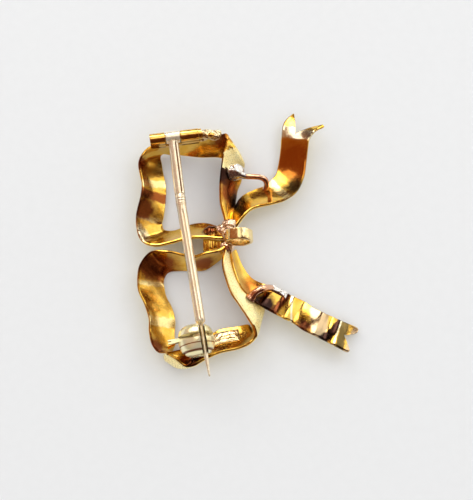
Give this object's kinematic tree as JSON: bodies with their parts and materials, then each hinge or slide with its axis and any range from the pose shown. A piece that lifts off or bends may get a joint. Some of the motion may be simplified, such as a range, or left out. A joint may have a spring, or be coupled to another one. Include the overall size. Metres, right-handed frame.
{
  "type": "ribbon bow brooch",
  "caption": "Gold brooch as an open ribbon bow with swallow-tailed ends, a hinged pin with a ball catch, and a bail ring on the back; it lies face down.",
  "frame": {"origin": "middle of the underside, the brooch lying face down", "axes": "+Z out of the brooch's back, +Y from the catch to the hinge, +X from the loops to the ribbon ends"},
  "size_m": [0.0276, 0.0346, 0.0067],
  "materials": {
    "ribbon_gold": "polished",
    "rose_gold": "polished",
    "pale_gold": "polished"
  },
  "bodies": {
    "brooch": {"bow": "ribbon_gold", "hinge_rivet": "pale_gold"},
    "pin": {"pin_stem": "rose_gold"},
    "catch": {"catch_rotor": "pale_gold"}
  },
  "joints": [
    {"name": "pin_hinge", "type": "hinge", "parent": "brooch", "child": "pin", "pos_m": [-0.0092, 0.01293, 0.0045], "axis": [-0.9916, -0.1291, 0], "range_deg": [0, 100]},
    {"name": "catch_lever", "type": "hinge", "parent": "brooch", "child": "catch", "pos_m": [-0.00525, -0.01279, 0.0045], "axis": [-0.1636, 0.9865, 0], "range_deg": [0, 90]}
  ]
}
